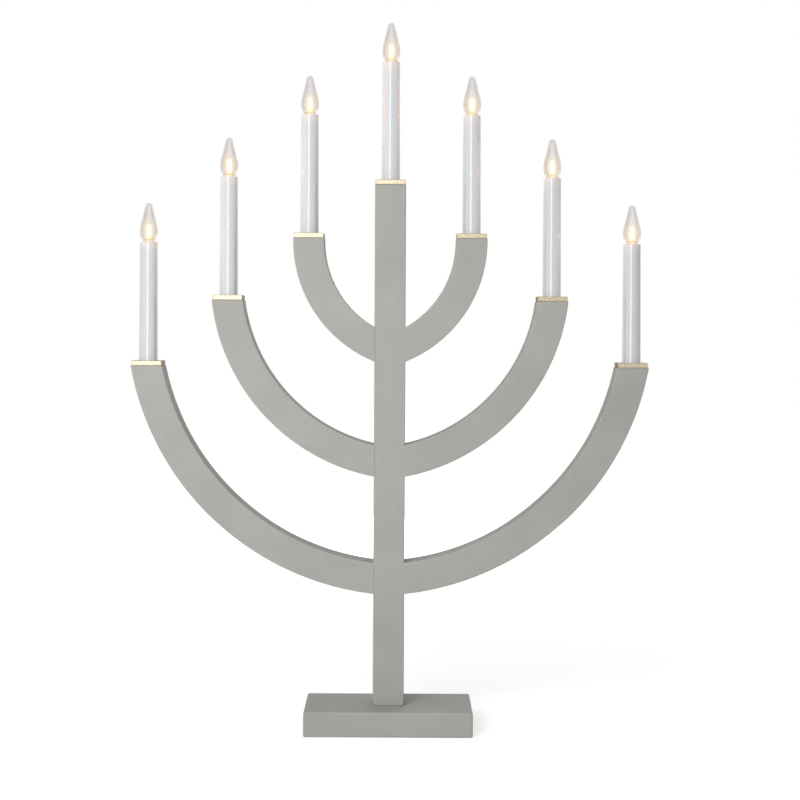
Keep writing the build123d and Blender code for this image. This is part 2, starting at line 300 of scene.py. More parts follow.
# %% [markdown]
# ## Grey paint
# The wood is covered with a flat grey paint. Close up such paint has the fine dimples of the roller, a trace
# of the grain below, slow changes of tone, and edges where the film is thinner and a little paler. One could
# wrap a picture of painted wood round each bar, but then it would stretch at the curves and show its seams.
# Noise has no seams. The grain has to run along each bar, so the curved arms carry their own map of metres
# along and around, while the straight bars use Object coordinates.

# %% Paint
paint_dark = rgb(0.411, 0.403, 0.375)
paint_light = rgb(0.456, 0.448, 0.419)
paint_edge = rgb(0.50, 0.49, 0.46)


def paint_on(material, at, along, edge):
    """Mixes tone, grain, dimples and edges. along is a place whose first axis runs along the grain."""
    tone = noise(at, scale=14, detail=3, rough=0.55)
    grain = noise(along, scale=1, detail=4, rough=0.6, stretch=(9, 420, 420))
    dimples = noise(at, scale=1150)
    colour = tint(between(0.75 * tone + 0.25 * grain, 0.30, 0.70), paint_dark, paint_light)
    colour = tint(edge * (0.15 + 0.35 * tone), colour, paint_edge)
    inputs = {
        "Base Color": colour,
        "Roughness": 0.50 + 0.16 * dimples - 0.10 * edge,
        "Specular IOR Level": 0.10,
        "Normal": bump(0.55 * dimples + 0.45 * grain, strength=0.22, depth=0.00025),
    }
    return close_finish(material, at, inputs)


def near_edge(at, half_sizes, middle, reach):
    """1 within reach of an edge of a box: where two of the three coordinates are near their ends."""
    moved = at.node("VectorMath", {"operation": "SUBTRACT"}, {0: at, 1: middle})
    axes = [abs(coordinate(moved, axis)) for axis in "XYZ"]
    x, y, z = [between(axis, half - reach, half) for axis, half in zip(axes, half_sizes)]
    return at.maths("MAXIMUM", x * y, at.maths("MAXIMUM", y * z, x * z))


def box_paint(name, node, grain_turn, reach):
    """Paint for a straight piece, with its grain turned from the first axis to the piece's length."""
    material, at = start_finish(name)
    low, high = [np.array(corner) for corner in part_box(node)]
    along = at.node("Mapping", None, {"Vector": at, "Rotation": grain_turn})
    edge = near_edge(at, (high - low) / 2, tuple((high + low) / 2), reach)
    return paint_on(material, at, along, edge)


base_paint = box_paint("grey_paint_base", "base_block", grain_turn=(0, 0, 0), reach=0.0022)
stem_paint = box_paint("grey_paint_stem", "stem", grain_turn=(0, math.pi / 2, 0), reach=0.0010)

arm_paint, at = start_finish("grey_paint_arms")
along_arm = at.node("UVMap", {"uv_map": "metres"})
arm_edge = at.node("Attribute", {"attribute_name": "edge"}, None, "Fac")
paint_on(arm_paint, at, along_arm, arm_edge)

# %% [markdown]
# ## Plate brass
# The plates are cut from brass strip with a lively surface: cloudy, finely speckled, with lines from the
# polishing belt. Their front and back edges are polished. The flat faces are duller, with some painted shade,
# and the cut ends are dull and painted dark as faces in shade. Three materials on three groups of faces would
# do, but masks from the direction that a face looks in tell them apart as well, so one finish serves all
# seven plates and their solids stay as they are.

# %% Plate brass
polished_dark, polished_light = rgb(0.445, 0.375, 0.26), rgb(0.615, 0.54, 0.408)
# The dull colours are partly a duller finish and partly painted shade, on the flat faces and the cut ends
dull_shaded_dark, dull_shaded_light = rgb(0.18, 0.147, 0.078), rgb(0.29, 0.243, 0.14)
aside, straight = 0.5, 0.95

plate_brass, at = start_finish("plate_brass")
facing = at.node("TexCoord", None, None, "Normal")
cut_end = between(abs(coordinate(facing, "X")), aside, straight)
flat_face = between(abs(coordinate(facing, "Z")), aside, straight)
# This mask gives the flat faces and cut ends their duller finish, and their painted shade
dulled_and_shaded = cut_end + 0.45 * flat_face
cloud = noise(at, scale=190, detail=4, rough=0.6)
grit = noise(at, scale=850, rough=0.6)
lines = noise(at, scale=1, detail=3, stretch=(40, 2600, 2600))
mottle = between(0.25 * cloud + 0.50 * grit + 0.25 * lines, 0.38, 0.62)
polished = tint(mottle, polished_dark, polished_light)
dull_and_shaded = tint(mottle, dull_shaded_dark, dull_shaded_light)
plate_inputs = {
    "Base Color": tint(dulled_and_shaded, polished, dull_and_shaded),
    "Metallic": 1 - 0.55 * cut_end,
    "Roughness": 0.14 + 0.18 * grit + 0.06 * lines + 0.30 * dulled_and_shaded,
    "Normal": bump(0.3 * cloud + 0.7 * grit, strength=0.12, depth=0.0003),
}
close_finish(plate_brass, at, plate_inputs)

# %% [markdown]
# ## Candle plastic
# The candles are glossy white plastic. Their tops carry a painted warm glow, the light of the lamp inside.
# That warmth could be traced as light inside the wall, but such light is slow and grainy. A tint that grows
# towards the top paints the same look. It is read from the tube's own map, whose first axis is metres above
# the end of the bar.

# %% Candle plastic
plastic_dark, plastic_light = rgb(0.645, 0.658, 0.680), rgb(0.655, 0.668, 0.690)
# The warm colour at the tube's top is painted light: the glow of the lamp inside
painted_lamp_glow = rgb(0.90, 0.77, 0.71)
glow_start, glow_end = 0.112, 0.124


def mapped_height(at):
    """Height on a piece of a candle in metres: the first coordinate of the piece's own map."""
    return coordinate(at.node("UVMap", {"uv_map": "metres"}), "X")


candle_white, at = start_finish("candle_white")
cloud = noise(at, scale=60)
flow = noise(at, scale=1, stretch=(45, 45, 6))
colour = tint(between(0.5 * cloud + 0.5 * flow, 0.3, 0.7), plastic_dark, plastic_light)
candle_inputs = {
    # Painted glow of the lamp towards the top of the tube
    "Base Color": tint(between(mapped_height(at), glow_start, glow_end) * 0.6, colour, painted_lamp_glow),
    "Roughness": 0.04 + 0.03 * cloud,
    "Coat Weight": 1.0,
    "Coat Roughness": 0.015,
    "Coat IOR": 1.7,
    "Normal": bump(cloud + flow, strength=0.002, depth=0.0002),
}
close_finish(candle_white, at, candle_inputs)

# %% [markdown]
# ## Clear bulb
# The bulb is clear, with a thick wall. Its colour carries painted light: a warm glow round the glowing rod,
# greyer towards its tip, a painted highlight down its middle and a painted dark outline. Plain glass in a
# white surround nearly vanishes, so the tint follows the height and the slant of the wall, and a little light
# of its own stands for the glow that the wall scatters.

# %% Bulb
# The lighter middle grey is a painted highlight, the dark outline grey is painted shade, and the warm tint is
# the rod's glow painted into the colour
side_grey, painted_highlight_grey, painted_outline_shade = rgb(0.765, 0.75, 0.74), rgb(0.89, 0.858, 0.84), rgb(0.46, 0.44, 0.43)
painted_rod_glow = rgb(0.785, 0.733, 0.69)
no_glow, faint_glow = rgb(0, 0, 0), rgb(0.012, 0.006, 0.003)
halo_glow, foot_glow = rgb(0.095, 0.083, 0.056), rgb(0.20, 0.165, 0.125)
foot_heights, warm_heights = (0.0005, 0.0030), (0.012, 0.030)
highlight_slants, halo_slants = (0.01, 0.18), (0.42, 0.04)

bulb_clear, at = start_finish("bulb_clear")
height = mapped_height(at)
ripple = noise(at, scale=120)
# This mask holds the painted glow round the rod; it also makes the glass rougher there
warm = 1 - between(height + 0.004 * ripple, *warm_heights)
at_foot = 1 - between(height, *foot_heights)
slant = at.node("LayerWeight", None, {"Blend": 0.5}, "Facing")
halo = warm * between(slant, *halo_slants)
middle = 1 - between(slant, *highlight_slants)
# Painted glow round the rod, and a painted highlight down the middle
colour = tint(warm, tint(middle, side_grey, painted_highlight_grey), painted_rod_glow)
glow = tint(halo, tint(warm, no_glow, faint_glow), halo_glow)
bulb_inputs = {
    # Painted shade darkens the outline
    "Base Color": tint(slant * slant * 0.6, colour, painted_outline_shade),
    "Roughness": 0.004 + 0.006 * ripple + 0.14 * warm,
    "IOR": 1.46,
    "Specular IOR Level": 0.35,
    "Transmission Weight": 1.0,
    "Emission Color": tint(at_foot, glow, foot_glow),
    "Emission Strength": 1.0,
}
close_finish(bulb_clear, at, bulb_inputs)

# %% [markdown]
# ## Glow of the rod
# In the bulb a clear rod carries light up from its foot and lets a little of it out all the way. To trace
# that would take long, so the rod simply shines by itself. Its foot stays dimmer and yellower.

# %% Rod's glow
foot_colour, lit_colour = rgb(0.75, 0.62, 0.30), rgb(0.95, 0.88, 0.70)
foot_light, lit_light = rgb(0.62, 0.535, 0.36), rgb(1.0, 0.88, 0.69)
lit_heights = (0.0035, 0.0075)

bulb_glow, at = start_finish("bulb_glow")
lit = between(mapped_height(at) + 0.002 * noise(at, scale=500), *lit_heights)
glow_inputs = {
    "Base Color": tint(lit, foot_colour, lit_colour),
    "Roughness": 0.25 + 0.1 * noise(at, scale=900),
    "Emission Color": tint(lit, foot_light, lit_light),
    "Emission Strength": 1.15,
}
close_finish(bulb_glow, at, glow_inputs)

# %% [markdown]
# ## Small parts
# The screw caps and sockets are pressed brass, dulled by handling. The bulb's centre contact sits in black
# glass. Screws, bush, dowels and lamp holders are hardly ever seen, but the part may be turned over or taken
# apart. They could share one grey, but a table of values and one function give each its own finish.


# %% Small finishes
def plain_finish(name, dark, light, roughness, scale, stretch=(1, 1, 1), **more):
    """A finish from one noise: its colour runs from dark to light, its roughness and surface follow."""
    material, at = start_finish(name)
    lumps = noise(at, scale, detail=4, rough=0.6, stretch=stretch)
    fine = noise(at, 5 * scale, stretch=stretch)
    inputs = {
        "Base Color": tint(between(0.7 * lumps + 0.3 * fine, 0.3, 0.7), dark, light),
        "Roughness": roughness * (0.75 + 0.5 * fine),
        "Normal": bump(0.6 * lumps + 0.4 * fine, strength=0.15, depth=0.0002),
    }
    inputs.update(more)
    return close_finish(material, at, inputs)


small_finishes = {
    "cap_brass": dict(
        dark=rgb(0.55, 0.42, 0.22), light=rgb(0.78, 0.64, 0.38), roughness=0.28, scale=420, Metallic=1.0
    ),
    "socket_brass": dict(
        dark=rgb(0.50, 0.37, 0.18), light=rgb(0.72, 0.56, 0.30), roughness=0.34, scale=380, Metallic=1.0
    ),
    "zinc_steel": dict(
        dark=rgb(0.50, 0.50, 0.48), light=rgb(0.70, 0.70, 0.68), roughness=0.32, scale=320, Metallic=1.0
    ),
    "contact_insulator": dict(
        dark=rgb(0.02, 0.02, 0.025), light=rgb(0.07, 0.07, 0.08), roughness=0.12, scale=260
    ),
    "black_bush": dict(
        dark=rgb(0.018, 0.018, 0.018), light=rgb(0.040, 0.040, 0.042), roughness=0.55, scale=600
    ),
    "holder_plastic": dict(
        dark=rgb(0.68, 0.67, 0.63), light=rgb(0.77, 0.76, 0.72), roughness=0.42, scale=300
    ),
    "beech": dict(
        dark=rgb(0.50, 0.33, 0.19),
        light=rgb(0.68, 0.49, 0.31),
        roughness=0.55,
        scale=1,
        stretch=(60, 900, 900),
    ),
}
finish_of = {slot: plain_finish(slot, **values) for slot, values in small_finishes.items()}

# %% [markdown]
# ## Surfaces from grids
# Every new piece is a sheet of points: rows along the piece and columns round it. The sheet is worked out as
# one array, and neighbouring points make the faces. The last column always meets the first. Where a row
# shrinks to a point, such as the tip of a bulb, its faces are triangles round one shared point.


# %% Grid to mesh
def sheet_faces(points, along, around, edge, poles, ring):
    """Corners, faces, map and edge marks of one sheet.

    Face (i, j) joins the points (i, j), (i + 1, j), (i + 1, j + 1) and (i, j + 1). With ring, the last row
    meets the first one too. The signed volume is a sixth of the sum of a . (b x c) over the triangles; a
    negative one means that the faces look inwards, so they are turned round.
    """
    rows, columns = points.shape[:2]
    index = np.arange(rows * columns).reshape(rows, columns)
    index[0] = index[0, 0] if poles else index[0]
    index[-1] = index[-1, 0] if poles else index[-1]
    first = index if ring else index[:-1]
    second = np.roll(index, -1, axis=0) if ring else index[1:]
    corners = [first, second, np.roll(second, -1, axis=1), np.roll(first, -1, axis=1)]
    quads = np.stack(corners, axis=-1).reshape(-1, 4)
    i, j = np.meshgrid(np.arange(len(first)), np.arange(columns), indexing="ij")
    u = np.stack([along[i], along[i + 1], along[i + 1], along[i]], axis=-1).reshape(-1, 4)
    v = np.stack([around[j], around[j], around[j + 1], around[j + 1]], axis=-1).reshape(-1, 4)
    maps = np.stack([u, v], axis=-1)
    starts, ends = quads[:, 0] == quads[:, 3], quads[:, 1] == quads[:, 2]
    full = ~(starts | ends)
    triangles = np.concatenate([quads[starts][:, [0, 1, 2]], quads[ends][:, [0, 1, 3]]])
    triangle_maps = np.concatenate([maps[starts][:, [0, 1, 2]], maps[ends][:, [0, 1, 3]]])
    quads, quad_maps = quads[full], maps[full]
    flat = points.reshape(-1, 3)
    fans = np.concatenate([triangles, quads[:, [0, 1, 2]], quads[:, [0, 2, 3]]])
    a, b, c = flat[fans[:, 0]], flat[fans[:, 1]], flat[fans[:, 2]]
    if np.einsum("ij,ij->i", a, np.cross(b, c)).sum() < 0:
        quads, quad_maps = quads[:, ::-1], quad_maps[:, ::-1]
        triangles, triangle_maps = triangles[:, ::-1], triangle_maps[:, ::-1]
    used, places = np.unique(np.concatenate([quads.ravel(), triangles.ravel()]), return_inverse=True)
    quads = places[: quads.size].reshape(-1, 4)
    triangles = places[quads.size :].reshape(-1, 3)
    map_values = np.concatenate([quad_maps.reshape(-1, 2), triangle_maps.reshape(-1, 2)])
    return flat[used], quads, triangles, map_values, edge.ravel()[used]


def make_piece(name, sheets, finish, body, slot, *nodes):
    """Joins sheets into one smooth mesh that rides on a body and stands for the named solids."""
    points, quads, triangles, maps, edges = zip(*[sheet_faces(**sheet) for sheet in sheets])
    offsets = np.concatenate([[0], np.cumsum([len(part) for part in points])[:-1]])
    faces = []
    for fours, threes, offset in zip(quads, triangles, offsets):
        faces += (fours + offset).tolist() + (threes + offset).tolist()
    mesh = bpy.data.meshes.new(name)
    mesh.from_pydata(np.concatenate(points).tolist(), [], faces)
    mesh.uv_layers.new(name="metres").data.foreach_set("uv", np.concatenate(maps).ravel())
    mesh.attributes.new("edge", "FLOAT", "POINT").data.foreach_set("value", np.concatenate(edges))
    mesh.shade_smooth()
    mesh.materials.append(finish)
    piece = bpy.data.objects.new(name, mesh)
    bpy.context.scene.collection.objects.link(piece)
    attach(piece, body)
    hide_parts(*nodes)
    return piece


print("sheets of points become smooth meshes")

# %% Helpers for outlines and sizes
MM = 0.001


def arc(x, y, radius, start, end, count):
    """Points on a circle, from one angle to another in degrees."""
    angle = np.radians(np.linspace(start, end, count))
    return np.column_stack([x + radius * np.cos(angle), y + radius * np.sin(angle)])


def lengths(points):
    """Distance run along a line of points, from 0 at the first one."""
    return np.concatenate([[0], np.cumsum(np.linalg.norm(np.diff(points, axis=0), axis=1))])


def report(piece, node):
    """Prints a piece's faces, and the largest difference between its box and its solid's box."""
    corners = np.array([corner[:] for corner in piece.bound_box])
    low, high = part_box(node)
    gap = max(np.abs(corners.min(0) - low).max(), np.abs(corners.max(0) - high).max())
    print(piece.name, len(piece.data.polygons), "faces, box off by %.3f mm" % (gap / MM))


print("a quarter circle of radius 1 in 90 steps: %.4f long" % lengths(arc(0, 0, 1, 0, 90, 91))[-1])

# %% [markdown]
# ## Curved arms
# Each arm is a square bar bent along an arc: sawn from a board with a round sweep, its edges broken with
# sandpaper. One could bend a box with a modifier, but the ends would not be cut true: one end is upright
# against the stem and the other is level under its plate. So the square outline is carried along the arc, and
# every one of its points gets its own start and end angle, where its own circle meets the stem's side and the
# level of the top.

# %% Arm values
# An arm's sizes are its reach from the stem's middle, the heights of its joint and its top, and its radius
bar_half = 15.5 * MM
edge_radius = 1.0 * MM
end_radius = 0.6 * MM
support = 0.5 * MM
rebate_half = 4.5 * MM
rebate_depth = 4.0 * MM
lip = 0.35 * MM
wall_lean = 0.02 * MM
strip_gap = 0.05 * MM
groove_stop = 12.0 * MM
arm_sizes = {
    "outer": np.array([243.0, 152.5, 364.0, 262.5]) * MM,
    "middle": np.array([162.5, 270.0, 430.0, 186.0]) * MM,
    "inner": np.array([81.5, 386.0, 492.5, 115.0]) * MM,
}
corner_points, lip_points, strip_edge_points = 7, 5, 6
print("pairs of arms:", len(arm_sizes), "of a bar %.0f mm wide" % (2 * bar_half / MM))


# %% Outlines of bar and cover strip
def bar_outline():
    """The bar's square outline as columns: offset from the middle line, depth, sink and edge.

    Four quarter circles of the edge radius stand at the corners of a smaller square. Two more points near
    each of them keep the flat sides flat under smooth shading. The back has a rebate whose lips are quarter
    circles too: sink is how far its points lie below the back, so that the rebate can be shut by leaving the
    sink out. Its walls lean in by a hair, because two points in one place would have no true normal there.
    """
    inner = bar_half - edge_radius
    flat = inner - support
    corners = [arc(0, 0, edge_radius, 90 * k, 90 * k + 90, corner_points) for k in range(4)]
    places = inner * np.array([(1, 1), (-1, 1), (-1, -1), (1, -1)])
    round_lip = arc(rebate_half + lip, bar_half - lip, lip, 90, 180, lip_points)
    lip_start = [(rebate_half + lip + support, bar_half)]
    lip_foot = [(rebate_half - wall_lean, bar_half - rebate_depth)]
    right_lip = np.concatenate([lip_start, round_lip, lip_foot])
    left_lip = right_lip[::-1] * (-1, 1)
    runs = [
        ("side", [(bar_half, -flat), (bar_half, flat)]),
        ("corner", corners[0] + places[0]),
        ("side", [(flat, bar_half)]),
        ("lip", right_lip),
        ("lip", left_lip),
        ("side", [(-flat, bar_half)]),
        ("corner", corners[1] + places[1]),
        ("side", [(-bar_half, flat), (-bar_half, -flat)]),
        ("corner", corners[2] + places[2]),
        ("side", [(-flat, -bar_half), (flat, -bar_half)]),
        ("corner", corners[3] + places[3]),
    ]
    outline = np.concatenate([points for _, points in runs])
    kind = np.concatenate([np.full(len(points), name) for name, points in runs])
    sink = np.where(kind == "lip", bar_half - outline[:, 1], 0)
    depth = np.where(kind == "lip", bar_half, outline[:, 1])
    rounded = (kind == "corner") | (sink > wall_lean)
    return outline[:, 0], depth, sink, rounded.astype(float)


def cover_outline():
    """The cover strip's outline: a flat bar as deep as the rebate, with its two outer edges rounded."""
    half = rebate_half - strip_gap
    round_edge = arc(half - lip, bar_half - lip, lip, 0, 90, strip_edge_points)
    foot, back = [(half, bar_half - rebate_depth)], [(half - lip - support, bar_half)]
    right = np.concatenate([foot, round_edge, back])
    outline = np.concatenate([right, right[::-1] * (-1, 1)])
    rounded = np.ones(len(outline))
    rounded[[0, len(right) - 1, len(right), -1]] = 0
    return outline[:, 0], outline[:, 1], np.zeros(len(outline)), rounded


print("outline points:", len(bar_outline()[0]), "and", len(cover_outline()[0]))

# %% Sweep along an arm
arm_rows, top_rows, round_rows = 70, 5, 5
close_share, next_share = 0.002, 0.01


def arm_sheet(tier, outline, top, round_end, shut_from, mirror):
    """Carries an outline along a left arm's arc, from the stem's side up to a level top.

    A point of the outline that lies s outside the middle line runs on a circle of radius r + s round the
    arc's centre. It starts where that circle meets the stem's side and rises to the level h, at the angle
    whose sine is the height above the centre over the radius. The last rows go in by e (1 - cos a) and up by
    e sin a, which rounds the end. Above shut_from the rebate is shut. A first row lies one edge radius
    further in: it covers the stem's rounded edge, so that the joint is filled flush, as paint and filler
    leave it.
    """
    offset, depth, sink, rounded = outline
    reach, joint, level, radius = arm_sizes[tier]
    start_point, end_point = np.array([-bar_half, joint]), np.array([-reach, level])
    chord = end_point - start_point
    span = np.linalg.norm(chord)
    to_centre = np.array([chord[1], -chord[0]]) / span
    centre_x, centre_z = (start_point + end_point) / 2 + to_centre * math.sqrt(radius**2 - span**2 / 4)

    even = np.linspace(next_share, 1 - next_share, arm_rows)
    share = np.concatenate([[0, close_share], even, [1 - close_share, 1]])
    above = np.append(shut_from + strip_gap, np.linspace(shut_from + support, top - round_end, top_rows))
    bend = np.radians(np.linspace(0, 90, round_rows + 1))[1:]
    rows = len(share) + len(above) + len(bend)
    height = np.concatenate([np.full(len(share), shut_from), above, top - round_end * (1 - np.sin(bend))])
    drawn_in = np.concatenate([np.zeros(rows - len(bend)), round_end * (1 - np.cos(bend))])
    part_way = np.concatenate([share, np.ones(rows - len(share))])
    is_open = np.concatenate([np.ones(len(share)), np.zeros(rows - len(share))])

    shrink = (1 - drawn_in / bar_half)[:, None]
    circle = radius + offset * shrink
    y = (depth - sink * is_open[:, None]) * shrink
    first = -np.arccos((-bar_half - centre_x) / circle)
    last = -math.pi - np.arcsin((height[:, None] - centre_z) / circle)
    angle = first + part_way[:, None] * (last - first)
    sheet = np.stack([centre_x + circle * np.cos(angle), y, centre_z + circle * np.sin(angle)], axis=-1)
    over_edge = sheet[:1] + (edge_radius, 0, 0)
    foot = np.broadcast_to(over_edge[0].mean(axis=0), over_edge.shape)
    head = np.broadcast_to((-reach, depth.mean(), top), over_edge.shape)
    sheet = np.concatenate([foot, over_edge, sheet, head])
    sheet[..., 0] *= -1 if mirror else 1
    along = lengths(sheet[:, 0])
    outline_points = np.column_stack([offset, depth])
    around = lengths(np.concatenate([outline_points, outline_points[:1]]))
    row_open = np.concatenate([[1, 1], is_open, [0]])[:, None]
    edge = np.where(sink > 0, rounded * row_open, rounded)
    return dict(points=sheet, along=along, around=around, edge=edge, poles=True, ring=False)


for tier, sizes in arm_sizes.items():
    level = sizes[2]
    for side in ("left", "right"):
        node = "%s_%s_arm" % (side, tier)
        sheet = arm_sheet(tier, bar_outline(), level, end_radius, level - groove_stop, side == "right")
        arm = make_piece(node + "_painted", [sheet], arm_paint, "frame", "grey_paint", node)
        report(arm, node)

# %% [markdown]
# ## Cover strips
# At the back, flat strips close the wire grooves. Each strip lies flush in its rebate, and all that shows is
# a fine double line. A dark line could be painted there, but it would not catch the light as a real gap
# does. The strips use the arms' own sweep with a narrower outline, so the lines stay even along the curve.

# %% Strips
strip_rows = 12
strip_end = 2.0 * MM


def stem_strip_sheet(foot, top):
    """Carries the strip's outline straight up the stem's back, with its top end rounded like an arm's end."""
    offset, depth, _, rounded = cover_outline()
    bend = np.radians(np.linspace(0, 90, round_rows))
    straight = np.linspace(foot, top - 2 * lip, strip_rows)
    height = np.concatenate([straight, top - lip * (1 - np.sin(bend))])[:, None]
    drawn_in = np.concatenate([np.zeros(strip_rows), lip * (1 - np.cos(bend))])[:, None]
    sheet = np.stack(np.broadcast_arrays(offset * (1 - drawn_in / rebate_half), depth, height), axis=-1)
    ends = [np.broadcast_to((0, depth.mean(), end), sheet[:1].shape) for end in (foot, top)]
    sheet = np.concatenate([ends[0], sheet, ends[1]])
    outline_points = np.column_stack([offset, depth])
    around = lengths(np.concatenate([outline_points, outline_points[:1]]))
    edge = np.broadcast_to(rounded, sheet.shape[:2])
    return dict(points=sheet, along=lengths(sheet[:, 0]), around=around, edge=edge, poles=True, ring=False)


covers_low, covers_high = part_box("wire_covers")
strips = [stem_strip_sheet(covers_low[2], covers_high[2])]
for tier, sizes in arm_sizes.items():
    strip_top = sizes[2] - groove_stop - strip_gap
    for mirror in (False, True):
        strips.append(arm_sheet(tier, cover_outline(), strip_top, lip, strip_top - strip_end, mirror))
covers = make_piece("wire_covers_painted", strips, arm_paint, "frame", "grey_paint", "wire_covers")
report(covers, "wire_covers")

# %% [markdown]
# ## Candles
# The candle tube, the bulb's envelope, the glowing rod and the cap are turned shapes: a profile of radius and
# height goes round an upright axis. A screw modifier would do the same, but the cap also needs its thread,
# where the radius depends on the height and on the angle together. A grid of both gives all of them with one
# function. Each candle's place comes from the solid of its plate.

# %% Candle values
# Lengths of a candle are in millimetres, and its heights are above the end of the bar that carries it
sides = {"left": ("outer", "middle", "inner"), "right": ("inner", "middle", "outer")}
left, right = [["%s_%s" % (side, tier) for tier in tiers] for side, tiers in sides.items()]
candles = {}
for candle in [*left, "centre", *right]:
    low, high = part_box(candle + "_plate")
    candles[candle] = ((low[0] + high[0]) / 2 / MM, low[2] / MM)
tube_top = 124.0
bulb_gap = 0.3
neck = tube_top + bulb_gap
hair = 0.2
map_radius = 10.0
turn_steps = 96
turns = np.linspace(0, 2 * math.pi, turn_steps, endpoint=False)


def turned_sheet(profile, candle, ring, zero=0.0, swell=0.0):
    """Carries a profile of (radius, height) round the candle's axis: x = r cos t, y = r sin t.

    swell may be a grid of radii to add, one for each row and angle. The map holds height above zero and the
    angle's arc, both in metres.
    """
    x, z = candles[candle]
    radius = profile[:, :1] + swell
    across, deep, high = x + radius * np.cos(turns), radius * np.sin(turns), z + profile[:, 1:]
    sheet = np.stack(np.broadcast_arrays(across, deep, high), axis=-1)
    heights = profile[:, 1] - zero
    along = np.concatenate([heights, heights[:1]]) * MM
    around = np.append(turns, 2 * math.pi) * map_radius * MM
    edge = np.zeros(sheet.shape[:2])
    return dict(points=sheet * MM, along=along, around=around, edge=edge, poles=not ring, ring=ring)


print("candles:", ", ".join("%s %.1f" % (candle, place[0]) for candle, place in candles.items()))

# %% [markdown]
# ### Tube
# A moulded tube with a slight taper, a rounded rim and an inward lip that the lamp holder hangs from. A
# cylinder with a bevel would give the outside, but one sees into the tube when the bulb is out. So one closed
# profile goes up the outside and down the inside. More points stand close beside its corners, which keeps the
# flat parts flat under smooth shading.

# %% Tube
tube_foot, tube_foot_radius, tube_top_radius = 3.5, 9.45, 8.85
tube_wall, lip_thickness, rim_radius, hole_radius = 1.2, 1.5, 0.6, 5.4
rim_points, hole_points = 9, 7
outside_heights = np.concatenate([[tube_foot, tube_foot + hair], np.linspace(8, 118, 23), [123.1]])
lip_top_radii, lip_underside_radii, foot_radii = (8.0, 6.2), (5.6, 7.6), (8.5, 9.3)
inner_wall_points = [(7.66, 122.2), (8.24, 3.7)]


def tube_profile():
    """The wall's outline: up the outside, over the rim, down through the lip's hole, and down the inside."""
    slope = (tube_top_radius - tube_foot_radius) / (tube_top - tube_foot)
    outside = np.column_stack([tube_foot_radius + slope * (outside_heights - tube_foot), outside_heights])
    rim_height, underside = tube_top - rim_radius, tube_top - lip_thickness
    rim = arc(tube_top_radius - rim_radius, rim_height, rim_radius, 0, 90, rim_points)
    lip_top = [(radius, tube_top) for radius in lip_top_radii]
    hole = arc(hole_radius + rim_radius, rim_height, rim_radius, 90, 180, hole_points)
    inside = [
        (hole_radius, underside + hair),
        (hole_radius, underside),
        *[(radius, underside) for radius in lip_underside_radii],
        (tube_top_radius - tube_wall, underside),
        *inner_wall_points,
        (tube_foot_radius - tube_wall, tube_foot),
        *[(radius, tube_foot) for radius in foot_radii],
    ]
    return np.concatenate([outside, rim, lip_top, hole, inside])


for candle in candles:
    node = candle + "_candle_tube"
    sheet = turned_sheet(tube_profile(), candle, True)
    tube = make_piece(node + "_glossy", [sheet], candle_white, "frame", "candle_white", node)
report(tube, node)

# %% [markdown]
# ### Bulb envelope
# The flame shape is two arcs, a straight flank and a small round tip, each running smoothly into the next. A
# sphere could be pulled to a point, but arcs that share their tangents have no dents. The wall has an outside
# and an inside, because clear plastic only looks right where light passes through both.

# %% Envelope
envelope_height, envelope_wall, envelope_floor = 39.0, 1.2, 2.0
belly_rise = 10.2
neck_belly_shoulder_tip = np.array([6.0, 8.9, 38.0, 3.6])
spigot_radius, spigot_hole_radius, spigot_length = 4.1, 2.5, 4.0
neck_hair = 0.1
lower_points, shoulder_points, flank_points, tip_points = 18, 20, 8, 14


def flame(neck_radius, belly, shoulder, tip, foot, top):
    """Right half of a flame outline, from the foot up to the tip, with arcs that share their tangents.

    The lower arc's centre lies level with the belly, where its distances to the neck and to the belly are
    equal. The flank touches the shoulder arc and the tip arc: its normal makes an angle with the line between
    their centres whose cosine is the difference of the radii over the distance.
    """
    belly_height = neck + belly_rise
    drop = belly_height - foot
    low_x = (belly**2 - neck_radius**2 - drop**2) / (2 * (belly - neck_radius))
    start = math.degrees(math.atan2(-drop, neck_radius - low_x))
    shoulder_x, tip_z = belly - shoulder, top - tip
    across, up = -shoulder_x, tip_z - belly_height
    normal = math.atan2(up, across) - math.acos((shoulder - tip) / math.hypot(across, up))
    lower = arc(low_x, belly_height, belly - low_x, start, 0, lower_points)
    upper = arc(shoulder_x, belly_height, shoulder, 0, math.degrees(normal), shoulder_points)[1:]
    point = arc(0, tip_z, tip, math.degrees(normal), 90, tip_points)
    point[-1, 0] = 0.0
    flank = upper[-1] + np.linspace(0, 1, flank_points)[1:-1, None] * (point[0] - upper[-1])
    return np.concatenate([lower, upper, flank, point])


def envelope_profile():
    """From the tip down the outside, round the spigot, up through its hole, and up the inside to the tip."""
    inner_radii = neck_belly_shoulder_tip - envelope_wall
    floor_height, spigot_foot = neck + envelope_floor, neck - spigot_length
    outside = flame(*neck_belly_shoulder_tip, neck, neck + envelope_height)[::-1]
    inside = flame(*inner_radii, floor_height, neck + envelope_height - envelope_wall)
    foot = [
        (outside[-1, 0] - neck_hair, neck),
        (spigot_radius, neck),
        (spigot_radius, neck - hair),
        (spigot_radius, spigot_foot),
        (spigot_hole_radius, spigot_foot),
        (spigot_hole_radius, floor_height - hair),
        (spigot_hole_radius, floor_height),
        (inside[0, 0] - neck_hair, floor_height),
    ]
    return np.concatenate([outside, foot, inside])


for candle in candles:
    node = candle + "_bulb_envelope"
    sheet = turned_sheet(envelope_profile(), candle, False, neck)
    envelope = make_piece(node + "_clear", [sheet], bulb_clear, candle + "_bulb", "bulb_clear", node)
report(envelope, node)

# %% [markdown]
# ### Glowing rod
# A clear rod with a round top stands on the light source in the bulb's foot. A cylinder and half a sphere
# would have to be joined. One turned profile has no seam where the side runs into the dome.

